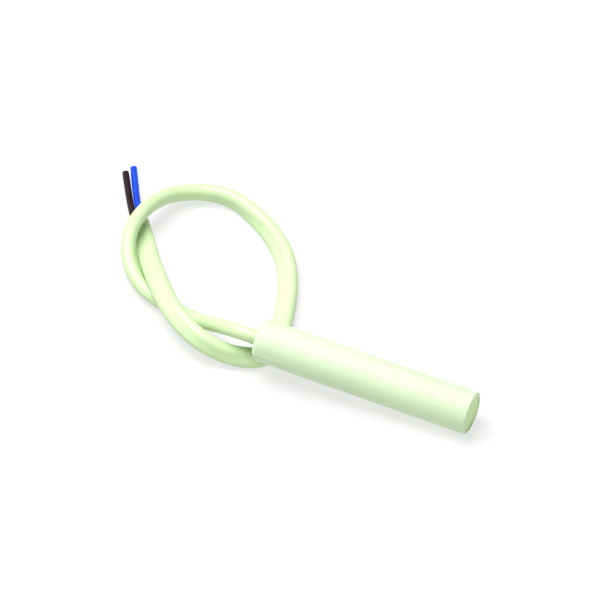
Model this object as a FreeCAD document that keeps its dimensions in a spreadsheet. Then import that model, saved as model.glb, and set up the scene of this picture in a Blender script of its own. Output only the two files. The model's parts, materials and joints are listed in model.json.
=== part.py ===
"""Potted two-wire reed sensor: a round plastic capsule on a short flat two-core flex.

The capsule lies on a flat surface with its nose down and its rear end raised on its own flex,
which is tied in one loose overhand loop and ends in two cut, insulated cores.
Millimetres, +Z up, X along the capsule towards its nose, Y across it, origin on the surface
below the middle of the capsule.
"""
import FreeCAD, Part
import math
import os
import Sketcher
from FreeCAD import Placement, Rotation, Vector

# ---------------------------------------------------------------- sizes
# Stations in the capsule are measured along its axis from the rear face.
SIZES = {
    "capsule_length": 50.0,
    "capsule_diameter": 9.5,
    "capsule_tilt": 4.5,          # degrees, nose down
    "sleeve_wall": 0.9,
    "rear_wall": 2.0,
    "rear_edge_round": 1.4,
    "nose_edge_chamfer": 0.15,
    "plug_thickness": 1.6,
    "plug_recess": 0.15,
    "plug_fit": 0.03,
    "plug_edge_chamfer": 0.2,
    "core_diameter": 1.5,
    "core_gap": 0.01,             # between the two cores in the sheath
    "sheath_wall": 0.815,
    "flex_roll": 50.0,            # degrees, of the flex in its opening
    "flex_fit": 0.06,
    "flex_grip": 4.0,             # sheath held inside the capsule
    "flex_stub": 0.8,             # straight sheath outside the rear face
    "conductor_diameter": 0.8,
    "core_strip": 2.4,            # bare conductor at each joint
    "core_straight": 4.0,
    "core_drift": 5.0,            # length over which a core moves to its own side
    "core_bend": 5.0,
    "reed_offset": 1.1,
    "return_offset": 1.9,
    "rear_joint": 19.5,
    "nose_to_glass": 9.8,
    "glass_length": 14.2,
    "glass_diameter": 2.3,
    "glass_wall": 0.35,
    "glass_seal": 2.2,
    "glass_end_chamfer": 0.4,
    "buffer_wall": 0.4,
    "buffer_fit": 0.02,
    "buffer_length": 12.6,
    "lead_diameter": 0.5,
    "lead_turn": 4.6,             # from the glass to the middle of the lead's turn back
    "lead_bend": 1.2,
    "joint_gap": 0.2,
    "blade_width": 1.1,
    "blade_thickness": 0.2,
    "blade_overlap": 1.2,
    "blade_tip_chamfer": 0.25,
    "blade_root_gap": 0.02,
    "contact_gap": 0.12,
    "solder_diameter": 1.3,
    "solder_length": 2.6,
    "solder_taper": 0.5,
    "solder_lip": 0.1,
    "shrink_length": 5.2,
    "shrink_wall": 0.2,
    "shrink_fit": 0.03,
    "shrink_overlap": 0.8,
}

# Route of the flex from just outside the rear face to the cut end of its sheath: down to the
# surface, round the left of the loop and over the free end, round the far side and back under
# the capsule, then over its own first stretch.
FLEX_ROUTE = [
    (-25.3, 0.0, 8.69),
    (-29.0, 0.0, 8.98),
    (-34.7, 2.2, 6.9),
    (-41.0, 5.2, 3.4),
    (-47.0, 7.6, 1.7),
    (-52.5, 9.2, 1.62),
    (-57.4, 11.5, 1.75),
    (-61.5, 14.7, 2.7),
    (-64.2, 18.9, 4.8),
    (-65.1, 24.0, 6.0),
    (-65.1, 29.3, 6.0),
    (-64.2, 35.2, 5.0),
    (-62.0, 40.5, 3.4),
    (-57.2, 44.4, 2.4),
    (-50.5, 45.25, 2.35),
    (-43.3, 41.83, 2.33),
    (-36.94, 37.25, 2.25),
    (-31.9, 31.6, 2.1),
    (-28.7, 25.2, 1.93),
    (-26.2, 18.1, 1.87),
    (-24.7, 11.8, 1.78),
    (-23.0, 5.6, 1.6),
    (-25.2, 0.6, 1.8),
    (-31.0, -1.6, 2.65),
    (-37.4, -2.3, 5.2),
    (-43.05, 0.45, 6.1),
    (-47.95, 4.4, 6.6),
    (-52.75, 10.2, 6.75),
    (-56.5, 16.2, 5.3),
    (-60.1, 22.0, 2.5),
    (-63.4, 26.6, 1.6),
    (-66.2, 30.6, 1.6),
]
# The two cores leave the cut end of the sheath straight, then splay a little to these points.
BROWN_END = [(-71.2, 37.3, 1.6), (-75.3, 44.5, 1.2)]
BLUE_END = [(-69.9, 38.5, 1.6), (-74.2, 46.4, 1.4)]
CORE_END_BEND = 15.0
CORE_END_STRAIGHT = 3.0

doc = FreeCAD.newDocument("reed_sensor")
sheet = doc.addObject("Spreadsheet::Sheet", "Sizes")
for row, (name, value) in enumerate(SIZES.items(), start=1):
    sheet.set(f"A{row}", name)
    sheet.set(f"B{row}", str(value))
    sheet.setAlias(f"B{row}", name)
doc.recompute()

parts = []


def size(name):
    """A driving dimension, read back from the sheet."""
    return float(sheet.get(name))


def cell(name):
    """The same dimension as text for an expression."""
    return f"Sizes.{name}"


# ---------------------------------------------------------------- capsule frame
tilt = math.radians(size("capsule_tilt"))
axis = Vector(math.cos(tilt), 0, -math.sin(tilt))
half_length = size("capsule_length") / 2
nose_height = size("capsule_diameter") / 2 * math.cos(tilt)
rear_face = Vector(half_length * math.cos(tilt), 0, nose_height) - axis * 2 * half_length
CAPSULE = Placement(rear_face, Rotation(Vector(0, 1, 0), size("capsule_tilt")))

plug_start = size("capsule_length") - size("plug_recess") - size("plug_thickness")
glass_start = size("capsule_length") - size("nose_to_glass") - size("glass_length")
glass_end = glass_start + size("glass_length")
reed_side = size("reed_offset")
return_side = -size("return_offset")
core_pitch = size("core_diameter") + size("core_gap")
flex_thickness = size("core_diameter") + 2 * size("sheath_wall")
flex_width = flex_thickness + core_pitch
roll = math.radians(size("flex_roll"))
front_turn = glass_end + size("lead_turn")
front_joint = front_turn - size("lead_bend") - size("shrink_length") + size("shrink_overlap")
front_joint += size("core_strip") + size("joint_gap") / 2


def seat(piece, station, across=0.0, up=0.0):
    """Places a piece, whose own X axis is its axis, at a station in the capsule."""
    piece.Placement = CAPSULE.multiply(Placement(Vector(station, across, up), Rotation()))


def in_capsule(points):
    """Points given as station, across and up, as points of the whole model."""
    return [CAPSULE.multVec(Vector(*point)) for point in points]


# ---------------------------------------------------------------- sketches and bodies
def new_body(label):
    body = doc.addObject("PartDesign::Body", label)
    body.Label = label
    parts.append(body)
    return body


def new_sketch(body, name, role):
    sketch = body.newObject("Sketcher::SketchObject", name)
    plane = [feature for feature in body.Origin.OriginFeatures if feature.Role == role]
    sketch.AttachmentSupport = (plane[0], [""])
    sketch.MapMode = "FlatFace"
    return sketch


def bind_constraint(sketch, constraint, name, expression):
    index = sketch.addConstraint(constraint)
    sketch.renameConstraint(index, name)
    sketch.setExpression(f"Constraints.{name}", expression)


def polygon(sketch, corners):
    """A closed outline whose corners are pairs of expressions; '0' puts a corner on an axis."""
    count = len(corners)
    values = [tuple(sheet_value(text) for text in corner) for corner in corners]
    for index in range(count):
        start = Vector(*values[index], 0)
        end = Vector(*values[(index + 1) % count], 0)
        sketch.addGeometry(Part.LineSegment(start, end), False)
    for index, (along, out) in enumerate(corners):
        previous = (index - 1) % count
        sketch.addConstraint(Sketcher.Constraint("Coincident", previous, 2, index, 1))
        if along == "0":
            sketch.addConstraint(Sketcher.Constraint("PointOnObject", index, 1, -2))
        else:
            fixed = Sketcher.Constraint("DistanceX", -1, 1, index, 1, values[index][0])
            bind_constraint(sketch, fixed, f"along{index}", along)
        if out == "0":
            sketch.addConstraint(Sketcher.Constraint("PointOnObject", index, 1, -1))
        else:
            fixed = Sketcher.Constraint("DistanceY", -1, 1, index, 1, values[index][1])
            bind_constraint(sketch, fixed, f"out{index}", out)


def sheet_value(expression):
    """Value of an expression of sheet cells, worked out by the sheet's own document."""
    if expression == "0":
        return 0.0
    return float(sheet.evalExpression(expression))


def circle(sketch, name, diameter):
    """A circle about the sketch's origin with its diameter bound to an expression."""
    radius = sheet_value(diameter) / 2
    index = sketch.addGeometry(Part.Circle(Vector(), Vector(0, 0, 1), radius), False)
    sketch.addConstraint(Sketcher.Constraint("Coincident", index, 3, -1, 1))
    bind_constraint(sketch, Sketcher.Constraint("Diameter", index, 2 * radius), name, diameter)


def revolved(label, corners):
    """A body turned about its own X axis from a half outline."""
    body = new_body(label)
    sketch = new_sketch(body, label + "_outline", "XY_Plane")
    polygon(sketch, corners)
    turn = body.newObject("PartDesign::Revolution", label + "_turn")
    turn.Profile = sketch
    turn.ReferenceAxis = (sketch, ["H_Axis"])
    turn.Angle = 360
    return body


def padded_round(label, outer, length, inner=None):
    """A plain round rod, or a tube if it has an inner diameter, along its own X axis."""
    body = new_body(label)
    sketch = new_sketch(body, label + "_section", "YZ_Plane")
    circle(sketch, "outer", outer)
    if inner:
        circle(sketch, "inner", inner)
    pad = body.newObject("PartDesign::Pad", label + "_pad")
    pad.Profile = sketch
    pad.setExpression("Length", length)
    return body


# ---------------------------------------------------------------- swept pieces
def path(points, bend=None):
    """Straight runs joined by tangent arcs; with no bend given, each arc fills its two runs."""
    edges = []
    radii = []
    start = points[0]
    for before, corner, after in zip(points, points[1:], points[2:]):
        back = (before - corner).normalize()
        ahead = (after - corner).normalize()
        half_turn = (math.pi - back.getAngle(ahead)) / 2
        shorter = min((before - corner).Length, (after - corner).Length)
        radius = bend or 0.45 * shorter / math.tan(half_turn)
        tangent = radius * math.tan(half_turn)
        arc_start = corner + back * tangent
        arc_end = corner + ahead * tangent
        inward = (back + ahead).normalize()
        middle = corner + inward * (radius / math.cos(half_turn) - radius)
        edges.append(Part.LineSegment(start, arc_start).toShape())
        edges.append(Part.Arc(arc_start, middle, arc_end).toShape())
        radii.append(radius)
        start = arc_end
    edges.append(Part.LineSegment(start, points[-1]).toShape())
    return Part.Wire(edges), radii


def round_tube(points, diameter, bend=None):
    """A solid round rod along the points."""
    spine, _ = path(points, bend)
    direction = points[1] - points[0]
    section = Part.Wire(Part.Circle(points[0], direction, diameter / 2).toShape())
    return spine.makePipeShell([section], True, False)


def oval(width, thickness):
    """A flat-oval outline about the X axis, its width along Y."""
    radius = thickness / 2
    flat = (width - thickness) / 2
    ends = (flat, -radius), (flat, radius), (-flat, radius), (-flat, -radius)
    corners = [Vector(0, across, up) for across, up in ends]
    right = Part.Arc(corners[0], Vector(0, width / 2, 0), corners[1]).toShape()
    top = Part.LineSegment(corners[1], corners[2]).toShape()
    left = Part.Arc(corners[2], Vector(0, -width / 2, 0), corners[3]).toShape()
    bottom = Part.LineSegment(corners[3], corners[0]).toShape()
    return Part.Wire([right, top, left, bottom])


def flat_tube(points, width, thickness):
    """A flat-oval cord along the points, its flat side level."""
    spine, radii = path(points)
    heading = points[1] - points[0]
    turn = Rotation(Vector(0, 0, 1), math.degrees(math.atan2(heading.y, heading.x)))
    section = oval(width, thickness)
    section.Placement = Placement(points[0], turn)
    sweep = Part.BRepOffsetAPI.MakePipeShell(spine)
    sweep.setBiNormalMode(Vector(0, 0, 1))
    sweep.add(section)
    sweep.build()
    sweep.makeSolid()
    return sweep.shape(), spine.Length, radii


def shaped(label, shape):
    """A piece whose shape is swept or cut from swept shapes."""
    piece = doc.addObject("Part::Feature", label)
    piece.Label = label
    piece.Shape = shape
    parts.append(piece)
    return piece


# ---------------------------------------------------------------- sleeve and nose plug
outer_radius = f"{cell('capsule_diameter')} / 2"
bore = f"{cell('capsule_diameter')} / 2 - {cell('sleeve_wall')}"
length = cell("capsule_length")
chamfer = cell("nose_edge_chamfer")
edge_round = cell("rear_edge_round")

sleeve = revolved("capsule_sleeve", [
    ("0", "0"),
    ("0", outer_radius),
    (f"{length} - {chamfer}", outer_radius),
    (length, f"{outer_radius} - {chamfer}"),
    (length, bore),
    (cell("rear_wall"), bore),
    (cell("rear_wall"), "0"),
])
doc.recompute()
cup = sleeve.Tip
rear_edges = []
for number, edge in enumerate(cup.Shape.Edges, start=1):
    box = edge.BoundBox
    if box.XMax < 1e-6 and box.YLength > 1.9 * size("capsule_diameter") / 2:
        rear_edges.append(f"Edge{number}")
rear_round = sleeve.newObject("PartDesign::Fillet", "rear_edge_round")
rear_round.Base = (cup, rear_edges)
rear_round.setExpression("Radius", edge_round)
doc.recompute()
uncut = sleeve.Shape.Volume

opening = new_sketch(sleeve, "flex_opening", "YZ_Plane")
half_pitch = core_pitch / 2
opening_radius = flex_thickness / 2 + size("flex_fit")
wide = Vector(-math.cos(roll), math.sin(roll), 0)
ends = [wide * half_pitch, wide * -half_pitch]
facing = math.atan2(wide.y, wide.x)
quarter = math.pi / 2
upright = Vector(0, 0, 1)
caps = [
    Part.ArcOfCircle(Part.Circle(ends[0], upright, opening_radius), facing - quarter, facing + quarter),
    Part.ArcOfCircle(Part.Circle(ends[1], upright, opening_radius), facing + quarter, facing + 3 * quarter),
]
for cap in caps:
    opening.addGeometry(cap, False)
opening.addGeometry(Part.LineSegment(caps[0].EndPoint, caps[1].StartPoint), False)
opening.addGeometry(Part.LineSegment(caps[1].EndPoint, caps[0].StartPoint), False)
opening.addConstraint(Sketcher.Constraint("Tangent", 0, 2, 2, 1))
opening.addConstraint(Sketcher.Constraint("Tangent", 2, 2, 1, 1))
opening.addConstraint(Sketcher.Constraint("Tangent", 1, 2, 3, 1))
opening.addConstraint(Sketcher.Constraint("Tangent", 3, 2, 0, 1))
opening.addConstraint(Sketcher.Constraint("Equal", 0, 1))
opening.addConstraint(Sketcher.Constraint("Symmetric", 0, 3, 1, 3, -1, 1))
pitch_text = f"{cell('core_diameter')} + {cell('core_gap')}"
radius_text = f"{cell('core_diameter')} / 2 + {cell('sheath_wall')} + {cell('flex_fit')}"
bind_constraint(opening, Sketcher.Constraint("Radius", 0, opening_radius), "end_radius", radius_text)
bind_constraint(opening, Sketcher.Constraint("Distance", 0, 3, 1, 3, core_pitch), "pitch", pitch_text)
roll_text = f"180 deg - {cell('flex_roll')} * 1 deg"
bind_constraint(opening, Sketcher.Constraint("Angle", 2, math.pi - roll), "roll", roll_text)
cut = sleeve.newObject("PartDesign::Pocket", "flex_opening_cut")
cut.Profile = opening
cut.Reversed = True
cut.setExpression("Length", cell("rear_wall"))
seat(sleeve, 0)
doc.recompute()
assert sleeve.Shape.Volume < uncut - 1.0, "the flex opening cut nothing"

plug_radius = f"{bore} - {cell('plug_fit')}"
plug_length = cell("plug_thickness")
plug_chamfer = cell("plug_edge_chamfer")
plug = revolved("nose_plug", [
    ("0", "0"),
    ("0", plug_radius),
    (f"{plug_length} - {plug_chamfer}", plug_radius),
    (plug_length, f"{plug_radius} - {plug_chamfer}"),
    (plug_length, "0"),
])
seat(plug, plug_start)

# ---------------------------------------------------------------- reed switch
glass_radius = f"{cell('glass_diameter')} / 2"
cavity_radius = f"{glass_radius} - {cell('glass_wall')}"
lead_radius = f"{cell('lead_diameter')} / 2"
glass_length = cell("glass_length")
seal = cell("glass_seal")
end_chamfer = cell("glass_end_chamfer")
glass = revolved("reed_glass_tube", [
    ("0", lead_radius),
    ("0", f"{glass_radius} - {end_chamfer}"),
    (end_chamfer, glass_radius),
    (f"{glass_length} - {end_chamfer}", glass_radius),
    (glass_length, f"{glass_radius} - {end_chamfer}"),
    (glass_length, lead_radius),
    (f"{glass_length} - {seal}", lead_radius),
    (f"{glass_length} - {seal}", cavity_radius),
    (seal, cavity_radius),
    (seal, lead_radius),
])
seat(glass, glass_start, reed_side)

buffer_bore = size("glass_diameter") + 2 * size("buffer_fit")
buffer_diameter = buffer_bore + 2 * size("buffer_wall")
buffer_inner = f"{cell('glass_diameter')} + 2 * {cell('buffer_fit')}"
buffer_outer = f"{buffer_inner} + 2 * {cell('buffer_wall')}"
buffer_start = glass_start + (size("glass_length") - size("buffer_length")) / 2
buffer_sleeve = padded_round("glass_buffer_sleeve", buffer_outer, cell("buffer_length"), buffer_inner)
seat(buffer_sleeve, buffer_start, reed_side)

blade_length = f"({glass_length} - 2 * {seal} + {cell('blade_overlap')}) / 2 - {cell('blade_root_gap')}"
tip = cell("blade_tip_chamfer")
blade_width = cell("blade_width")


def reed_blade(label):
    """A flat spring blade from its root at the seal, along its own X axis."""
    body = new_body(label)
    sketch = new_sketch(body, label + "_outline", "XY_Plane")
    polygon(sketch, [
        ("0", "0"),
        (f"{blade_length} - {tip}", "0"),
        (blade_length, tip),
        (blade_length, f"{blade_width} - {tip}"),
        (f"{blade_length} - {tip}", blade_width),
        ("0", blade_width),
    ])
    pad = body.newObject("PartDesign::Pad", label + "_pad")
    pad.Profile = sketch
    pad.setExpression("Length", cell("blade_thickness"))
    return body


root_gap = size("blade_root_gap")
half_width = size("blade_width") / 2
half_gap = size("contact_gap") / 2
rear_root = glass_start + size("glass_seal")
front_root = glass_end - size("glass_seal")
rear_blade = reed_blade("reed_blade_rear")
seat(rear_blade, rear_root + root_gap, reed_side - half_width, half_gap)
front_blade = reed_blade("reed_blade_front")
turned = Rotation(Vector(0, 1, 0), 180)
front_seat = Vector(front_root - root_gap, reed_side - half_width, -half_gap)
front_blade.Placement = CAPSULE.multiply(Placement(front_seat, turned))

# ---------------------------------------------------------------- leads, cores and conductors
rear_lead_end = size("rear_joint") + size("joint_gap") / 2
front_lead_end = front_joint + size("joint_gap") / 2
rear_lead_length = rear_root - rear_lead_end
seal_text = f"{length} - {cell('nose_to_glass')} - {glass_length} + {seal}"
lead_length = f"{seal_text} - {cell('rear_joint')} - {cell('joint_gap')} / 2"
rear_lead = padded_round("reed_lead_rear", cell("lead_diameter"), lead_length)
seat(rear_lead, rear_lead_end, reed_side)
front_lead_line = in_capsule([
    (front_root, reed_side, 0),
    (front_turn, reed_side, 0),
    (front_turn, return_side, 0),
    (front_lead_end, return_side, 0),
])
front_lead_shape = round_tube(front_lead_line, size("lead_diameter"), size("lead_bend"))
shaped("reed_lead_front", front_lead_shape)

start_across = half_pitch * math.cos(roll)
start_up = half_pitch * math.sin(roll)
core_start = size("flex_grip")
drift_start = core_start + size("core_straight")
drift_end = drift_start + size("core_drift")


def inner_core(colour, sign, side, joint):
    """One core inside the capsule, from the end of the sheath to its soldered joint."""
    conductor_end = joint - size("joint_gap") / 2
    insulation_end = conductor_end - size("core_strip")
    start = [
        (core_start, -sign * start_across, sign * start_up),
        (drift_start, -sign * start_across, sign * start_up),
        (drift_end, side, 0),
    ]
    bend = size("core_bend")
    conductor_line = in_capsule(start + [(conductor_end, side, 0)])
    insulation_line = in_capsule(start + [(insulation_end, side, 0)])
    conductor = round_tube(conductor_line, size("conductor_diameter"), bend)
    solid_core = round_tube(insulation_line, size("core_diameter"), bend)
    shaped(colour + "_core_inner", solid_core.cut(conductor))
    shaped(colour + "_conductor_inner", conductor)
    return solid_core.fuse(conductor), insulation_end


blue_core, blue_end_station = inner_core("blue", -1, reed_side, size("rear_joint"))
brown_core, brown_end_station = inner_core("brown", 1, return_side, front_joint)

# ---------------------------------------------------------------- soldered joints and shrink tubes
solder_length = cell("solder_length")
solder_radius = f"{cell('solder_diameter')} / 2"
conductor_radius = f"{cell('conductor_diameter')} / 2"
taper = cell("solder_taper")
lip = cell("solder_lip")
meet_low = f"({solder_length} - {cell('joint_gap')}) / 2"
meet_high = f"({solder_length} + {cell('joint_gap')}) / 2"
solder_corners = [
    ("0", conductor_radius),
    ("0", f"{conductor_radius} + {lip}"),
    (taper, solder_radius),
    (f"{solder_length} - {taper}", solder_radius),
    (solder_length, f"{lead_radius} + {lip}"),
    (solder_length, lead_radius),
    (meet_high, lead_radius),
    (meet_high, "0"),
    (meet_low, "0"),
    (meet_low, conductor_radius),
]
shrink_inner = f"{cell('core_diameter')} + 2 * {cell('shrink_fit')}"
shrink_outer = f"{shrink_inner} + 2 * {cell('shrink_wall')}"
shrink_radius = size("core_diameter") / 2 + size("shrink_fit") + size("shrink_wall")
joints = [
    ("rear", size("rear_joint"), reed_side, blue_end_station),
    ("front", front_joint, return_side, brown_end_station),
]
joint_envelopes = []
for end, station, side, insulation_end in joints:
    solder = revolved(end + "_solder_joint", solder_corners)
    seat(solder, station - size("solder_length") / 2, side)
    shrink = padded_round(end + "_joint_shrink", shrink_outer, cell("shrink_length"), shrink_inner)
    shrink_start = insulation_end - size("shrink_overlap")
    seat(shrink, shrink_start, side)
    base = in_capsule([(shrink_start, side, 0)])[0]
    joint_envelopes.append(Part.makeCylinder(shrink_radius, size("shrink_length"), base, axis))

# ---------------------------------------------------------------- potting
stub_length = size("flex_grip") + size("flex_stub")
stub = Part.Face(oval(flex_width, flex_thickness)).extrude(Vector(stub_length, 0, 0))
rolled = Rotation(Vector(1, 0, 0), 180 - size("flex_roll"))
stub.Placement = CAPSULE.multiply(Placement(Vector(-size("flex_stub"), 0, 0), rolled))

blank = doc.addObject("Part::Cylinder", "potting_blank")
blank.setExpression("Radius", bore)
plug_cells = f"{cell('plug_recess')} - {cell('plug_thickness')}"
blank.setExpression("Height", f"{length} - {plug_cells} - {cell('rear_wall')}")
along_axis = Rotation(Vector(0, 1, 0), 90)
blank.Placement = CAPSULE.multiply(Placement(Vector(size("rear_wall"), 0, 0), along_axis))

reed_stations = (glass_start, buffer_start, rear_lead_end)
reed_base = in_capsule([(station, reed_side, 0) for station in reed_stations])
glass_envelope = Part.makeCylinder(size("glass_diameter") / 2, size("glass_length"), reed_base[0], axis)
buffer_envelope = Part.makeCylinder(buffer_diameter / 2, size("buffer_length"), reed_base[1], axis)
lead_envelope = Part.makeCylinder(size("lead_diameter") / 2, rear_lead_length, reed_base[2], axis)
held = [brown_core, blue_core, lead_envelope, front_lead_shape, glass_envelope, buffer_envelope]
cavity = doc.addObject("Part::Feature", "potting_cavity")
cavity.Shape = stub.fuse(held + joint_envelopes)
potting = doc.addObject("Part::Cut", "potting_fill")
potting.Label = "potting_fill"
potting.Base = blank
potting.Tool = cavity
parts.append(potting)

# ---------------------------------------------------------------- flex outside the capsule
route = [Vector(*point) for point in FLEX_ROUTE]
tube, tube_length, route_radii = flat_tube(route, flex_width, flex_thickness)
sheath = tube.fuse(stub)
shaped("flex_sheath", sheath.removeSplitter())

sheath_end = route[-1]
end_heading = (route[-1] - route[-2]).normalize()
end_side = Vector(end_heading.y, -end_heading.x, 0)
for colour, sign, free_points in (("brown", -1, BROWN_END), ("blue", 1, BLUE_END)):
    core_exit = sheath_end + end_side * (sign * half_pitch)
    line = [core_exit, core_exit + end_heading * CORE_END_STRAIGHT]
    line += [Vector(*point) for point in free_points]
    conductor = round_tube(line, size("conductor_diameter"), CORE_END_BEND)
    core = round_tube(line, size("core_diameter"), CORE_END_BEND)
    shaped(colour + "_core_free_end", core.cut(conductor))
    shaped(colour + "_conductor_free_end", conductor)

# ---------------------------------------------------------------- checks and files
doc.recompute()
for item in doc.Objects:
    if "Invalid" in item.State or "Error" in item.State:
        raise RuntimeError(f"{item.Label} failed: {item.State}")
os.makedirs("parts", exist_ok=True)
for piece in parts:
    shape = piece.Shape
    if shape.isNull() or not shape.isValid():
        raise RuntimeError(f"{piece.Label} has no valid shape")
    shape.exportStep(f"parts/{piece.Label}.step")
    print(f"{piece.Label}: {len(shape.Solids)} solid, {shape.Volume:.2f} mm3")

section_area = Part.Face(oval(flex_width, flex_thickness)).Area
print(f"flex tube: length {tube_length:.1f} mm, volume {tube.Volume:.1f} mm3,",
      f"section times length {section_area * tube_length:.1f} mm3")
print("flex radii:", ", ".join(f"{radius:.1f}" for radius in route_radii))
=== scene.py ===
"""Looks of a potted two-wire reed sensor: a pale round plastic capsule on a short flat flex.

Metres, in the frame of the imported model: +Z up, X along the capsule towards its nose, origin on
the surface below the middle of the capsule.
"""

import json
import math

import bmesh
import bpy
from mathutils import Matrix, Vector


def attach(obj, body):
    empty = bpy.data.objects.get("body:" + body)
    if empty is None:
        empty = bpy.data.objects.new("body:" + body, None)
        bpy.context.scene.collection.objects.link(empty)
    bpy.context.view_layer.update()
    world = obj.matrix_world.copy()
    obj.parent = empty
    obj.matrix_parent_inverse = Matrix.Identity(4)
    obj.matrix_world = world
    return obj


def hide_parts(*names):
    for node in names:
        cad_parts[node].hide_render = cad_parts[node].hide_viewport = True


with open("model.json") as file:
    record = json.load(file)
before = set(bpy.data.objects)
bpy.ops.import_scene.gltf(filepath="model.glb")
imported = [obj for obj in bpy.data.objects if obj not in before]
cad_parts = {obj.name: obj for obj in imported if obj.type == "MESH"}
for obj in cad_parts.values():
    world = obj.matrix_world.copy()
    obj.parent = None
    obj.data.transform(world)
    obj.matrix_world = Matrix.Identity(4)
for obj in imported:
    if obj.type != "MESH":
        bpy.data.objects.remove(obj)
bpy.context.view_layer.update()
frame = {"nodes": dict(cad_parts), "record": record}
NODES = frame["nodes"]
MOUNTS = {mount["name"]: mount for mount in frame["record"]["mounts"]}
MM = 0.001
UP = Vector((0, 0, 1))

# ---------------------------------------------------------------- the capsule's own frame
BARREL = MOUNTS["barrel"]
BARREL_MIDDLE = Vector(BARREL["pos_m"])
AXIS = Vector(BARREL["axis"]).normalized()
CAPSULE_RADIUS = BARREL["dims"]["r_mm"] * MM


def span(node):
    """The first and last station of a node along the capsule, from the barrel's middle."""
    stations = [(vertex.co - BARREL_MIDDLE).dot(AXIS) for vertex in NODES[node].data.vertices]
    return min(stations), max(stations)


REAR_STATION, NOSE_STATION = span("capsule_sleeve")
REAR_FACE = BARREL_MIDDLE + AXIS * REAR_STATION
CAPSULE_LENGTH = NOSE_STATION - REAR_STATION
ACROSS = Vector((0, 1, 0))
CAPSULE = Matrix.Translation(REAR_FACE) @ Matrix((AXIS, ACROSS, AXIS.cross(ACROSS))).transposed().to_4x4()

# ---------------------------------------------------------------- sizes
SLEEVE_WALL = 0.9 * MM
REAR_WALL = 2.0 * MM
REAR_EDGE_ROUND = 1.4 * MM
NOSE_EDGE_ROUND = 0.3 * MM
BORE_EDGE_ROUND = 0.08 * MM
RIDGE_HEIGHT = 0.12 * MM
RIDGE_HALF_WIDTH = 0.15 * MM
RIDGE_LENGTH = 9 * MM
RIDGE_STEP = 0.8 * MM            # between two points along the ridge
OPENING_EDGE_ROUND = 0.1 * MM
OPENING_ROOM = 2.9 * MM          # radius of the round loop that is shaped into the opening
TOUCHING = 0.01 * MM             # how near counts as lying on a face
PLUG_FIT = 0.03 * MM
PLUG_BACK_ROUND = 0.2 * MM
PLUG_FACE_ROUND = 0.12 * MM
# Rings of the dished face, from its edge inwards: how wide and how much deeper, in millimetres.
PLUG_DISH = ((0.3, 0.0), (0.25, 0.015), (0.5, 0.025), (0.8, 0.02), (1.0, 0.01))
SIDES = 128                      # of the capsule and its plug

HALF_PITCH = 0.755 * MM          # from the middle of the flex to the middle of each core
FLEX_RADIUS = 1.565 * MM
FLEX_WAIST = 0.04 * MM
FLEX_SIDES = 48
OPENING_FIT = 0.06 * MM
SHEATH_CUT_ROUND = 0.07 * MM
BED_FIT = 0.02 * MM              # between a core and its bed in the sheath
BED_DEPTH = 0.8 * MM
BED_WAIST = 0.4 * MM
BED_MOUTH_WAIST = 0.3 * MM
CORE_DIAMETER = 1.5 * MM
CORE_SIDES = 28
CORE_CUT_ROUND = 0.05 * MM
CORE_HOLE_RADIUS = 0.41 * MM
CORE_HOLE_DEPTH = 0.9 * MM
OUTER_STRANDS = 6
STRAND_RADIUS = 0.125 * MM
STRAND_SIDES = 12
STRAND_CUT_ROUND = 0.03 * MM
STRAND_END_RADIUS = 0.8 * STRAND_RADIUS
STRAND_RING = 0.262 * MM         # from the middle of the conductor to its outer strands
STRAND_LAY = 11 * MM             # length of one turn of the strands
GATHERS = (0.55 * MM, 1.35 * MM)  # where the sheath bunches up outside its opening
GATHER_HEIGHT = 0.08 * MM
GATHER_WIDTH = 0.22 * MM

# ---------------------------------------------------------------- route of the flex
# Points that steer the middle of the flex, in millimetres, from inside the capsule to the cut end
# of its sheath.
FLEX_ROUTE = [
    (-20.9, 0.0, 8.34),
    (-25.3, 0.0, 8.69),
    (-29.0, 0.0, 8.98),
    (-34.7, 2.2, 6.9),
    (-41.0, 5.2, 3.4),
    (-47.0, 7.6, 2.1),
    (-52.5, 9.2, 2.1),
    (-57.4, 11.5, 2.4),
    (-61.2, 14.9, 3.8),
    (-63.8, 19.0, 5.0),
    (-65.1, 24.0, 6.0),
    (-65.1, 29.3, 6.0),
    (-64.2, 35.2, 5.0),
    (-62.0, 40.5, 3.4),
    (-57.2, 44.4, 2.4),
    (-50.5, 45.25, 2.35),
    (-43.3, 41.83, 2.33),
    (-36.94, 37.25, 2.25),
    (-31.9, 31.6, 2.1),
    (-28.7, 25.2, 1.93),
    (-26.2, 18.1, 1.87),
    (-24.7, 11.8, 1.78),
    (-23.0, 5.6, 1.65),
    (-25.2, 0.6, 2.05),
    (-31.0, -1.6, 2.75),
    (-37.4, -2.3, 5.2),
    (-43.05, 0.45, 6.1),
    (-47.95, 4.4, 6.45),
    (-52.65, 10.05, 6.28),
    (-56.75, 15.8, 4.65),
    (-60.4, 21.8, 2.3),
    (-63.4, 26.6, 1.6),
    (-66.2, 30.6, 1.6),
]
# How far the flat of the flex leans from level at each of those points, in degrees.
FLEX_ROLL = [
    50, 50, 48, 44, 40, 40, 44, 50, 58, 80, 103, 115, 119, 121, 119, 97, 82,
    52, 40, 27, 20, 10, 0, -40, -80, -63, -42, -26, -18, -15, -12, -8, -2,
]
CORE_STRAIGHT = 3.0              # millimetres of core on the sheath's own heading
CORE_GRIP = 2.0                  # millimetres of core drawn inside the sheath
# Points that steer the rest of each core, in millimetres.
BROWN_END = [(-71.35, 37.24, 1.6), (-75.3, 44.5, 1.2)]
BLUE_END = [(-70.2, 38.38, 1.6), (-74.2, 46.4, 1.4)]
SPLINE_STEPS = 24                # pieces of line for each step of a route


def scaled(points):
    """Points in millimetres as points in metres."""
    return [Vector(point) * MM for point in points]


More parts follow.
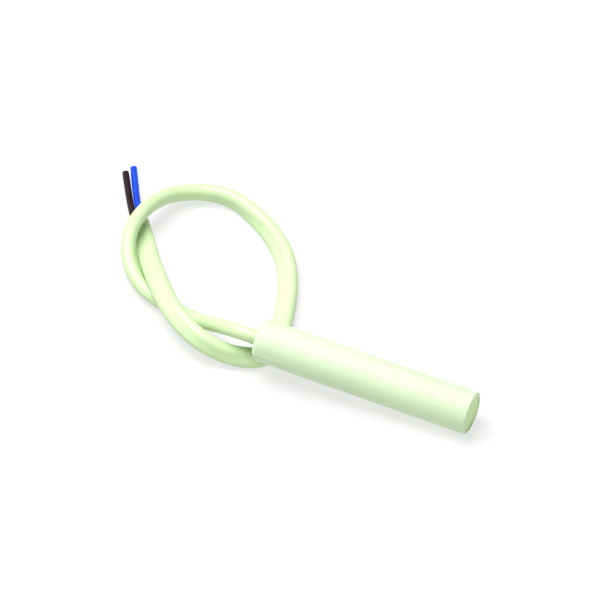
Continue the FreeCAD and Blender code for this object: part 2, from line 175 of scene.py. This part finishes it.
# ---------------------------------------------------------------- camera
VIEW_AZIMUTH = math.radians(23.03)
VIEW_ELEVATION = math.radians(42.96)
VIEW_TARGET = Vector((-25.11, 23.25, 0)) * MM
VIEW_WIDTH = 129.64 * MM         # seen across the frame at the target
LENS = 1500.0
SENSOR = 36.0


def make_camera():
    """A long lens that looks down from the capsule's right, a little towards its nose."""
    data = bpy.data.cameras.new("camera")
    data.lens = LENS
    data.sensor_width = SENSOR
    data.clip_start = 0.1
    data.clip_end = 50
    camera = bpy.data.objects.new("camera", data)
    bpy.context.scene.collection.objects.link(camera)
    back = Vector((
        math.sin(VIEW_AZIMUTH) * math.cos(VIEW_ELEVATION),
        -math.cos(VIEW_AZIMUTH) * math.cos(VIEW_ELEVATION),
        math.sin(VIEW_ELEVATION),
    ))
    camera.location = VIEW_TARGET + back * (VIEW_WIDTH * LENS / SENSOR)
    camera.rotation_euler = (-back).to_track_quat("-Z", "Y").to_euler()
    bpy.context.scene.camera = camera


# ---------------------------------------------------------------- lines and sections
def spline_points(controls):
    """The points of a smooth curve steered by a row of control points."""
    curve = bpy.data.curves.new("guide", "CURVE")
    curve.dimensions = "3D"
    curve.resolution_u = SPLINE_STEPS
    spline = curve.splines.new("NURBS")
    spline.points.add(len(controls) - 1)
    for point, control in zip(spline.points, controls):
        point.co = (*control, 1)
    spline.order_u = 3
    spline.use_endpoint_u = True
    guide = bpy.data.objects.new("guide", curve)
    mesh = bpy.data.meshes.new_from_object(guide)
    line = [vertex.co.copy() for vertex in mesh.vertices]
    bpy.data.meshes.remove(mesh)
    bpy.data.objects.remove(guide)
    return line


def line_length(line):
    """The length of a row of points."""
    return sum((after - before).length for before, after in zip(line, line[1:]))


def stadium_reach(angle, half_pitch, radius):
    """How far the outline of a flat oval lies from its middle, in one direction."""
    across, upward = abs(math.cos(angle)), abs(math.sin(angle))
    if half_pitch * upward >= radius * across:
        return radius / upward
    return half_pitch * across + math.sqrt(radius ** 2 - (half_pitch * upward) ** 2)


def outline(half_pitch, radius, pinch=0.0, count=FLEX_SIDES):
    """A flat oval that is pinched a little between its two round sides."""
    points = []
    for step in range(count):
        angle = 2 * math.pi * step / count
        reach = stadium_reach(angle, half_pitch, radius) - pinch * math.sin(angle) ** 6
        points.append((reach * math.cos(angle), reach * math.sin(angle)))
    return points


def stations_on(line, rolls):
    """Each point of a line with its heading, its width direction and its thickness direction."""
    stations = []
    for index, point in enumerate(line):
        before, after = line[max(index - 1, 0)], line[min(index + 1, len(line) - 1)]
        heading = (after - before).normalized()
        side = UP.cross(heading).normalized()
        width = side * math.cos(rolls[index]) + heading.cross(side) * math.sin(rolls[index])
        stations.append((point, heading, width, heading.cross(width)))
    return stations


def make_tube(name, rings):
    """A closed tube through rings, each a station, a shift along the heading and an outline."""
    count = len(rings[0][2])
    verts = []
    travelled = []
    distance = 0.0
    previous = rings[0][0][0]
    for (point, heading, width, thickness), shift, section in rings:
        distance += (point - previous).length
        previous = point
        travelled.append((distance + shift) / MM)
        for across, upward in section:
            verts.append(point + heading * shift + width * across + thickness * upward)
    faces = []
    for ring in range(len(rings) - 1):
        for step in range(count):
            after = (step + 1) % count
            low, high = ring * count, (ring + 1) * count
            faces.append((low + step, low + after, high + after, high + step))
    last = (len(rings) - 1) * count
    faces.append(tuple(reversed(range(count))))
    faces.append(tuple(range(last, last + count)))
    mesh = bpy.data.meshes.new(name)
    mesh.from_pydata(verts, [], faces)
    wrap = mesh.uv_layers.new(name="along_flex")
    for polygon in mesh.polygons:
        for place, loop in enumerate(polygon.loop_indices):
            ring, step = divmod(mesh.loops[loop].vertex_index, count)
            turn = 1.0 if step == 0 and place in (1, 2) and polygon.loop_total == 4 else step / count
            wrap.data[loop].uv = (turn, travelled[ring])
    piece = bpy.data.objects.new(name, mesh)
    bpy.context.scene.collection.objects.link(piece)
    return piece


# ---------------------------------------------------------------- modelling by hand
def only(piece):
    """Makes one piece the only selected and active object."""
    bpy.ops.object.select_all(action="DESELECT")
    piece.select_set(True)
    bpy.context.view_layer.objects.active = piece


def pick(piece, kind, wanted):
    """Edit mode with only the faces, edges or points selected that are wanted."""
    only(piece)
    bpy.ops.object.mode_set(mode="EDIT")
    bpy.ops.mesh.select_mode(type=kind)
    bpy.ops.mesh.select_all(action="DESELECT")
    mesh = bmesh.from_edit_mesh(piece.data)
    mesh.normal_update()
    items = {"FACE": mesh.faces, "EDGE": mesh.edges, "VERT": mesh.verts}[kind]
    for item in items:
        if wanted(item):
            item.select_set(True)
    mesh.select_flush_mode()
    bmesh.update_edit_mesh(piece.data)
    return mesh


def leave_editing():
    """Back to object mode."""
    bpy.ops.object.mode_set(mode="OBJECT")


def add_round(name, radius, start, end):
    """A closed round bar along X, from one station to another."""
    bpy.ops.object.select_all(action="DESELECT")
    bpy.ops.mesh.primitive_cylinder_add(
        vertices=SIDES, radius=radius, depth=end - start,
        location=((start + end) / 2, 0, 0), rotation=(0, math.pi / 2, 0))
    bpy.ops.object.transform_apply(location=True, rotation=True, scale=True)
    piece = bpy.context.object
    piece.name = name
    piece.data.name = name
    return piece


def distance_out(point):
    """How far a point lies from the capsule's axis, in the capsule's own frame."""
    return math.hypot(point.y, point.z)


def round_edge(piece, station, radius, offset, segments):
    """Rounds the circular edge at a station and radius."""
    near = 0.02 * MM

    def on_edge(edge):
        return all(
            abs(vert.co.x - station) < near and abs(distance_out(vert.co) - radius) < near
            for vert in edge.verts)

    pick(piece, "EDGE", on_edge)
    bpy.ops.mesh.bevel(offset=offset, segments=segments, profile=0.5, affect="EDGES")
    leave_editing()


def seat_in_capsule(piece):
    """Moves a piece from the capsule's own frame to its place, and bakes the place in."""
    only(piece)
    piece.matrix_world = CAPSULE
    bpy.ops.object.transform_apply(location=True, rotation=True, scale=True)


def shade(piece, degrees=32):
    """Smooth shading with crisp real edges."""
    only(piece)
    bpy.ops.object.shade_smooth_by_angle(angle=math.radians(degrees))


def shape_opening(mesh, roll):
    """Turns the selected round loop into the flat oval of the flex, with a little room."""
    for vert in mesh.verts:
        if vert.select:
            angle = math.atan2(vert.co.z, vert.co.y)
            reach = stadium_reach(angle - roll, HALF_PITCH, FLEX_RADIUS + OPENING_FIT)
            vert.co.y = reach * math.cos(angle)
            vert.co.z = reach * math.sin(angle)


def faces_nose(face):
    """Whether a face of a bar looks along the capsule towards its nose."""
    return face.normal.x > 0.9


def make_sleeve():
    """The capsule's cup: a thin wall, a rear wall with an oval opening and a moulding ridge."""
    sleeve = add_round("capsule_shell", CAPSULE_RADIUS, 0, CAPSULE_LENGTH)
    bore = CAPSULE_RADIUS - SLEEVE_WALL
    opening_roll = math.pi - math.radians(FLEX_ROLL[0])

    pick(sleeve, "FACE", faces_nose)
    bpy.ops.mesh.inset(thickness=SLEEVE_WALL)
    bpy.ops.mesh.extrude_region_move(
        TRANSFORM_OT_translate={"value": (REAR_WALL - CAPSULE_LENGTH, 0, 0)})
    bpy.ops.mesh.inset(thickness=bore - OPENING_ROOM)
    shape_opening(bmesh.from_edit_mesh(sleeve.data), opening_roll)
    bmesh.update_edit_mesh(sleeve.data)
    bpy.ops.mesh.delete(type="ONLY_FACE")
    leave_editing()

    round_edge(sleeve, 0, CAPSULE_RADIUS, REAR_EDGE_ROUND, 12)
    rear_disc = CAPSULE_RADIUS - REAR_EDGE_ROUND
    pick(sleeve, "FACE", lambda face: face.normal.x < -0.99 and len(face.verts) > 8)
    bpy.ops.mesh.inset(thickness=rear_disc - OPENING_ROOM)
    shape_opening(bmesh.from_edit_mesh(sleeve.data), opening_roll)
    bmesh.update_edit_mesh(sleeve.data)
    bpy.ops.mesh.delete(type="ONLY_FACE")
    leave_editing()

    pick(sleeve, "EDGE", lambda edge: edge.is_boundary)
    bpy.ops.mesh.bridge_edge_loops()
    leave_editing()
    pick(sleeve, "EDGE", lambda edge: all(
        abs(vert.co.x) < TOUCHING and distance_out(vert.co) < OPENING_ROOM - TOUCHING
        for vert in edge.verts))
    bpy.ops.mesh.bevel(offset=OPENING_EDGE_ROUND, segments=3, affect="EDGES")
    leave_editing()

    round_edge(sleeve, CAPSULE_LENGTH, CAPSULE_RADIUS, NOSE_EDGE_ROUND, 4)
    round_edge(sleeve, CAPSULE_LENGTH, bore, BORE_EDGE_ROUND, 3)
    raise_parting_line(sleeve, bore)
    seat_in_capsule(sleeve)
    shade(sleeve)
    return sleeve


def raise_parting_line(sleeve, bore):
    """A fine ridge along both sides, where the two halves of the mould met, fading forwards."""
    for height in (-RIDGE_HALF_WIDTH, 0, RIDGE_HALF_WIDTH):
        pick(sleeve, "VERT", lambda vert: True)
        bpy.ops.mesh.bisect(plane_co=(0, 0, height), plane_no=(0, 0, 1))
        leave_editing()
    station = REAR_EDGE_ROUND
    while station < RIDGE_LENGTH:
        station += RIDGE_STEP
        pick(sleeve, "VERT", lambda vert: True)
        bpy.ops.mesh.bisect(plane_co=(station, 0, 0), plane_no=(1, 0, 0))
        leave_editing()
    mesh = pick(sleeve, "VERT", lambda vert: (
        abs(vert.co.z) < RIDGE_HALF_WIDTH / 4
        and vert.co.x < RIDGE_LENGTH
        and distance_out(vert.co) > bore + SLEEVE_WALL / 4))
    for vert in mesh.verts:
        if vert.select:
            fade = 1 - (vert.co.x / RIDGE_LENGTH) ** 2
            vert.co += vert.normal * RIDGE_HEIGHT * fade
    bmesh.update_edit_mesh(sleeve.data)
    leave_editing()


def make_plug():
    """The nose plug: a disc set a hair behind the rim, its face a little dished."""
    start, end = (station - REAR_STATION for station in span("nose_plug"))
    radius = CAPSULE_RADIUS - SLEEVE_WALL - PLUG_FIT
    plug = add_round("nose_disc", radius, start, end)
    pick(plug, "FACE", faces_nose)
    for thickness, depth in PLUG_DISH:
        bpy.ops.mesh.inset(thickness=thickness * MM)
        bpy.ops.transform.translate(value=(-depth * MM, 0, 0))
    bpy.ops.mesh.poke()
    leave_editing()
    round_edge(plug, start, radius, PLUG_BACK_ROUND, 3)
    round_edge(plug, end, radius, PLUG_FACE_ROUND, 3)
    seat_in_capsule(plug)
    shade(plug)
    return plug


# ---------------------------------------------------------------- flex, cores and strands
def make_flex():
    """The oval sheath on its whole route, with a cut end that shows the bed of its two cores."""
    line = spline_points(scaled(FLEX_ROUTE))
    rolls = [point.x for point in spline_points([(math.radians(roll), 0, 0) for roll in FLEX_ROLL])]
    stations = stations_on(line, rolls)
    full = outline(HALF_PITCH, FLEX_RADIUS, FLEX_WAIST)

    def section(point):
        """The sheath's outline at a point, fuller where it is gathered outside its opening."""
        from_opening = (point - REAR_FACE).length
        gather = sum(math.exp(-((from_opening - place) / GATHER_WIDTH) ** 2) for place in GATHERS)
        outside = gather if (point - REAR_FACE).dot(AXIS) < 0 else 0
        return outline(HALF_PITCH, FLEX_RADIUS + GATHER_HEIGHT * outside, FLEX_WAIST)

    soft = SHEATH_CUT_ROUND
    part_way = soft * 0.3
    bed = BED_FIT + CORE_DIAMETER / 2
    rings = [(station, 0, section(station[0])) for station in stations[:-1]]
    end = stations[-1]
    rings += [
        (end, -soft, full),
        (end, -part_way, outline(HALF_PITCH, FLEX_RADIUS - part_way, FLEX_WAIST)),
        (end, 0, outline(HALF_PITCH, FLEX_RADIUS - soft, FLEX_WAIST)),
        (end, 0, outline(HALF_PITCH, bed + soft, BED_MOUTH_WAIST)),
        (end, -soft, outline(HALF_PITCH, bed, BED_WAIST)),
        (end, -BED_DEPTH, outline(HALF_PITCH, bed, BED_WAIST)),
    ]
    flex = make_tube("flat_flex", rings)
    shade(flex)
    return flex, line, end


def make_core(name, sign, end, free_points):
    """One insulated core from inside the sheath's cut end to its own cut end."""
    point, heading, width, _ = end
    start = point + width * sign * HALF_PITCH
    controls = [start - heading * CORE_GRIP * MM, start, start + heading * CORE_STRAIGHT * MM]
    line = spline_points(controls + scaled(free_points))
    stations = stations_on(line, [0.0] * len(line))
    radius = CORE_DIAMETER / 2
    hole = CORE_HOLE_RADIUS
    soft = CORE_CUT_ROUND

    def circle(size):
        """A core's round outline."""
        return outline(0, size, 0, CORE_SIDES)

    tip = stations[-1]
    rings = [(stations[0], 0, circle(hole)), (stations[0], 0, circle(radius))]
    rings += [(station, 0, circle(radius)) for station in stations[1:-1]]
    rings += [
        (tip, -soft, circle(radius)),
        (tip, 0, circle(radius - soft)),
        (tip, 0, circle(hole + soft)),
        (tip, -soft, circle(hole)),
        (tip, -CORE_HOLE_DEPTH, circle(hole)),
    ]
    core = make_tube(name, rings)
    shade(core)
    return core, stations


def make_strands(name, stations):
    """The copper strands of a core, six laid round one."""
    lines = [[] for _ in range(OUTER_STRANDS + 1)]
    travelled = 0.0
    previous = stations[0][0]
    for point, heading, width, thickness in stations:
        travelled += (point - previous).length
        previous = point
        lines[OUTER_STRANDS].append(point)
        for strand in range(OUTER_STRANDS):
            angle = math.tau * (strand / OUTER_STRANDS + travelled / STRAND_LAY)
            offset = width * math.cos(angle) + thickness * math.sin(angle)
            lines[strand].append(point + offset * STRAND_RING)
    section = outline(0, STRAND_RADIUS, 0, STRAND_SIDES)
    end_section = outline(0, STRAND_END_RADIUS, 0, STRAND_SIDES)
    pieces = []
    for line in lines:
        along = stations_on(line, [0.0] * len(line))
        rings = [(station, 0, section) for station in along[:-1]]
        rings += [(along[-1], -STRAND_CUT_ROUND, section), (along[-1], 0, end_section)]
        pieces.append(make_tube(name, rings))
    bpy.ops.object.select_all(action="DESELECT")
    for strand in pieces:
        strand.select_set(True)
    bpy.context.view_layer.objects.active = pieces[-1]
    bpy.ops.object.join()
    strands = bpy.context.object
    strands.name = name
    shade(strands, 50)
    return strands


# ---------------------------------------------------------------- materials
class Wire:
    """A socket's output. Arithmetic on it adds the Math nodes that work it out."""

    def __init__(self, finish, socket):
        self.finish = finish
        self.socket = socket

    def math(self, operation, first, second):
        return self.finish.add("ShaderNodeMath", {"operation": operation}, {0: first, 1: second})

    def __add__(self, other):
        return self.math("ADD", self, other)

    def __radd__(self, other):
        return self.math("ADD", other, self)

    def __sub__(self, other):
        return self.math("SUBTRACT", self, other)

    def __rsub__(self, other):
        return self.math("SUBTRACT", other, self)

    def __mul__(self, other):
        return self.math("MULTIPLY", self, other)

    def __rmul__(self, other):
        return self.math("MULTIPLY", other, self)


class Finish:
    """A procedural material with one Principled surface."""

    def __init__(self, name, **constants):
        self.material = bpy.data.materials.new(name)
        self.material.use_nodes = True
        self.tree = self.material.node_tree
        self.surface = self.tree.nodes["Principled BSDF"]
        for socket, value in constants.items():
            self.surface.inputs[socket.replace("_", " ")].default_value = value

    def add(self, kind, settings=None, values=None, output=0):
        """A node with its settings made first, then the values or links of its sockets."""
        node = self.tree.nodes.new(kind)
        for setting, value in (settings or {}).items():
            setattr(node, setting, value)
        for socket, value in (values or {}).items():
            if isinstance(value, Wire):
                self.tree.links.new(value.socket, node.inputs[socket])
            else:
                node.inputs[socket].default_value = value
        return Wire(self, node.outputs[output])

    def place(self, output="Object"):
        """The place in metres or, with "UV", the share of a turn and the millimetres along."""
        return self.add("ShaderNodeTexCoord", output=output)

    def stretched(self, place, scale):
        """A place with each of its directions scaled."""
        return self.add("ShaderNodeMapping", values={"Vector": place, "Scale": scale})

    def noise(self, place, scale, detail=3.0, roughness=0.55):
        """Soft random cloud between 0 and 1."""
        values = {"Vector": place, "Scale": scale, "Detail": detail, "Roughness": roughness}
        return self.add("ShaderNodeTexNoise", values=values)

    def spots(self, place, scale, size):
        """Small round dots, 1 at the middle of each."""
        values = {"Vector": place, "Scale": scale}
        far = self.add("ShaderNodeTexVoronoi", {"feature": "F1"}, values, output="Distance")
        return self.ranged(far, 0.0, size, 1.0, 0.0)

    def ranged(self, value, low, high, out_low, out_high):
        """A value moved from one range to another and held inside it."""
        values = {"Value": value, "From Min": low, "From Max": high, "To Min": out_low, "To Max": out_high}
        return self.add("ShaderNodeMapRange", {"clamp": True}, values)

    def mixed(self, factor, first, second):
        """A colour between two colours."""
        return self.add("ShaderNodeMix", {"data_type": "RGBA"}, {0: factor, 6: first, 7: second}, output=2)

    def bump(self, height, distance, strength=1.0):
        """A surface direction from a height, where 1 stands for the distance in metres."""
        values = {"Height": height, "Distance": distance, "Strength": strength}
        return self.add("ShaderNodeBump", values=values)

    def wear(self, **links):
        """Joins worked-out values to the surface."""
        for socket, value in links.items():
            self.tree.links.new(value.socket, self.surface.inputs[socket.replace("_", " ")])
        return self.material


def colour(red, green, blue):
    """A display colour, 0 to 255, as the linear colour that a material takes."""
    def linear(value):
        """One channel of it."""
        share = value / 255
        return share / 12.92 if share <= 0.04045 else ((share + 0.055) / 1.055) ** 2.4
    return (linear(red), linear(green), linear(blue), 1)


def capsule_finish():
    """Moulded thermoplastic, pale greenish ivory, satin with a faint orange-peel skin and tiny pits, the
    pits darkened with painted shade.
    """
    finish = Finish("capsule_ivory", IOR=1.5, Specular_IOR_Level=0.3)
    place = finish.place()
    cloud = finish.noise(place, 90)
    skin = finish.noise(place, 1500, 2)
    pits_and_painted_shade = finish.spots(place, 420, 0.05)
    base = finish.mixed(finish.ranged(cloud, 0.3, 0.7, 0, 1), colour(192, 213, 175), colour(197, 217, 181))
    # Painted shade: each tiny pit is dented by the bump and its colour is also darkened.
    base = finish.mixed(pits_and_painted_shade * 0.25, base, colour(186, 204, 158))
    rough = finish.ranged(cloud, 0.3, 0.7, 0.42, 0.5) + pits_and_painted_shade * 0.1
    return finish.wear(Base_Color=base, Roughness=rough, Normal=finish.bump(skin - pits_and_painted_shade, 0.02 * MM, 0.35))


def plug_finish():
    """Cast face of the nose, a little darker, with a few bright specks."""
    finish = Finish("plug_ivory", IOR=1.5)
    place = finish.place()
    cloud = finish.noise(place, 260)
    specks = finish.spots(place, 700, 0.16) * finish.ranged(finish.noise(place, 350), 0.52, 0.6, 0, 1)
    base = finish.mixed(finish.ranged(cloud, 0.3, 0.7, 0, 1), colour(180, 214, 144), colour(194, 225, 158))
    base = finish.mixed(specks, base, colour(246, 250, 234))
    rough = finish.ranged(cloud, 0.3, 0.7, 0.4, 0.55)
    return finish.wear(Base_Color=base, Roughness=rough, Normal=finish.bump(cloud + specks, 0.05 * MM, 0.5))


def flex_finish():
    """Extruded soft plastic, pale yellowish green, with faint streaks along its length."""
    finish = Finish("flex_ivory", IOR=1.5)
    along = finish.place("UV")
    cloud = finish.noise(finish.place(), 130)
    streaks = finish.noise(finish.stretched(along, (60, 0.15, 1)), 1.0, 4)
    base = finish.mixed(finish.ranged(cloud, 0.3, 0.7, 0, 1), colour(186, 212, 161), colour(191, 216, 167))
    base = finish.mixed(finish.ranged(streaks, 0.5, 0.8, 0, 0.3), base, colour(182, 203, 147))
    rough = finish.ranged(streaks, 0.3, 0.7, 0.36, 0.46)
    return finish.wear(Base_Color=base, Roughness=rough, Normal=finish.bump(streaks, 0.02 * MM, 0.4))


def core_finish(name, dark, bright):
    """Extruded insulation with a slight sheen and fine streaks."""
    finish = Finish(name, IOR=1.5, Specular_IOR_Level=0.3)
    along = finish.place("UV")
    streaks = finish.noise(finish.stretched(along, (40, 0.25, 1)), 1.0, 3)
    base = finish.mixed(finish.ranged(streaks, 0.35, 0.65, 0, 1), dark, bright)
    rough = finish.ranged(streaks, 0.3, 0.7, 0.32, 0.45)
    return finish.wear(Base_Color=base, Roughness=rough, Normal=finish.bump(streaks, 0.02 * MM, 0.5))


def metal_finish(name, dark, bright, rough_low, rough_high, grain=(400, 2200, 2200)):
    """Drawn or cast metal with a fine grain, which is longest along X unless told otherwise."""
    finish = Finish(name, Metallic=1.0)
    place = finish.stretched(finish.place(), grain)
    grain_lines = finish.noise(place, 1.0, 3)
    base = finish.mixed(finish.ranged(grain_lines, 0.3, 0.7, 0, 1), dark, bright)
    rough = finish.ranged(grain_lines, 0.3, 0.7, rough_low, rough_high)
    return finish.wear(Base_Color=base, Roughness=rough, Normal=finish.bump(grain_lines, 0.01 * MM, 0.4))


def cast_finish(name, dark, bright, rough_low, rough_high, **constants):
    """Cast or shrunk plastic: clouded colour and a few trapped bubbles."""
    finish = Finish(name, **constants)
    place = finish.place()
    cloud = finish.noise(place, 500)
    bubbles = finish.spots(place, 900, 0.2) * finish.ranged(finish.noise(place, 300), 0.55, 0.65, 0, 1)
    base = finish.mixed(finish.ranged(cloud, 0.3, 0.7, 0, 1), dark, bright)
    rough = finish.ranged(cloud, 0.3, 0.7, rough_low, rough_high)
    relief = finish.bump(cloud - bubbles, 0.05 * MM, 0.5)
    return finish.wear(Base_Color=base, Roughness=rough, Normal=relief)


# ---------------------------------------------------------------- room
FLOOR_SIZE = 6.0
PAPER_GLOW = 0.66
ROOM_STRENGTH = 0.28


def floor_finish():
    """Plain pale paper."""
    finish = Finish("pale_paper", Emission_Color=(1, 1, 1, 1), Emission_Strength=PAPER_GLOW)
    fibre = finish.noise(finish.place(), 40)
    base = finish.mixed(fibre, colour(127, 127, 126), colour(129, 129, 128))
    return finish.wear(Base_Color=base, Roughness=finish.ranged(fibre, 0, 1, 0.85, 0.95))


def make_floor():
    """A wide pale floor at the level that the sensor lies on."""
    bpy.ops.object.select_all(action="DESELECT")
    bpy.ops.mesh.primitive_plane_add(size=FLOOR_SIZE, location=(0, 0, 0))
    floor = bpy.context.object
    floor.name = "floor"
    floor.data.materials.append(floor_finish())


def add_light(name, place, size, power):
    """A square soft box that looks at the middle of the sensor."""
    data = bpy.data.lights.new(name, "AREA")
    data.size = size
    data.energy = power
    light = bpy.data.objects.new(name, data)
    bpy.context.scene.collection.objects.link(light)
    light.location = place
    light.rotation_euler = (VIEW_TARGET - Vector(place)).to_track_quat("-Z", "Y").to_euler()


def make_lights():
    """A large soft box above, a weak one towards the nose and a pale room."""
    add_light("top_box", place=(-0.38, 0.02, 1.02), size=0.9, power=22.5)
    add_light("nose_fill", place=(0.75, -0.55, 0.45), size=0.6, power=3.0)
    world = bpy.data.worlds.new("room")
    world.use_nodes = True
    backdrop = world.node_tree.nodes["Background"]
    backdrop.inputs["Color"].default_value = (1, 1, 1, 1)
    backdrop.inputs["Strength"].default_value = ROOM_STRENGTH
    bpy.context.scene.world = world
    bpy.context.scene.view_settings.view_transform = "Standard"


# ---------------------------------------------------------------- assembly
def dress(piece, material, slot, *nodes):
    """Gives a new piece its material and its body, and hides the nodes that it stands for; the slot is not
    used.
    """
    piece.data.materials.clear()
    piece.data.materials.append(material)
    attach(piece, "root")
    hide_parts(*nodes)


make_camera()
flex, flex_line, flex_end = make_flex()
dress(flex, flex_finish(), "flex_pvc", "flex_sheath")

copper = metal_finish("copper_bright", colour(176, 108, 72), colour(226, 158, 116), 0.22, 0.38)
CORES = (
    ("brown", 1, BROWN_END, core_finish("brown_insulation", colour(23, 5, 6), colour(35, 10, 10))),
    ("blue", -1, BLUE_END, core_finish("blue_insulation", colour(4, 57, 180), colour(8, 70, 202))),
)
on_flex = []
for name, sign, free_points, material in CORES:
    core, core_stations = make_core(name + "_insulation", sign, flex_end, free_points)
    dress(core, material, name + "_pvc", name + "_core_free_end")
    strands = make_strands(name + "_strands", core_stations)
    dress(strands, copper, "copper", name + "_conductor_free_end")
    on_flex += [core, strands]

dress(make_sleeve(), capsule_finish(), "capsule_plastic", "capsule_sleeve")
dress(make_plug(), plug_finish(), "plug_plastic", "nose_plug")

INNER_FINISHES = {
    "potting_fill": cast_finish("potting_amber", colour(196, 190, 160), colour(214, 208, 180), 0.3, 0.5),
    "reed_glass_tube": cast_finish(
        "glass_green", colour(170, 215, 180), colour(190, 230, 196), 0.02, 0.08,
        IOR=1.5, Transmission_Weight=0.85),
    "glass_buffer_sleeve": cast_finish(
        "silicone_milky", colour(214, 214, 208), colour(226, 226, 220), 0.45, 0.6),
    "reed_blade": metal_finish("reed_nickel", colour(150, 148, 140), colour(196, 194, 184), 0.18, 0.32),
    "reed_lead": metal_finish("lead_tinned", colour(160, 160, 158), colour(206, 206, 202), 0.2, 0.35),
    "brown_core_inner": cast_finish("brown_inner", colour(50, 24, 26), colour(66, 34, 34), 0.35, 0.45),
    "blue_core_inner": cast_finish("blue_inner", colour(14, 58, 214), colour(30, 82, 245), 0.35, 0.45),
    "conductor_inner": copper,
    "solder_joint": metal_finish(
        "solder_bright", colour(150, 150, 152), colour(200, 200, 200), 0.2, 0.4, grain=(700, 700, 700)),
    "joint_shrink": cast_finish("shrink_black", colour(22, 22, 23), colour(34, 34, 35), 0.45, 0.6),
}
for node, material in INNER_FINISHES.items():
    for label, carried in NODES.items():
        if node in label:
            carried.material_slots[0].material = material

make_floor()
make_lights()
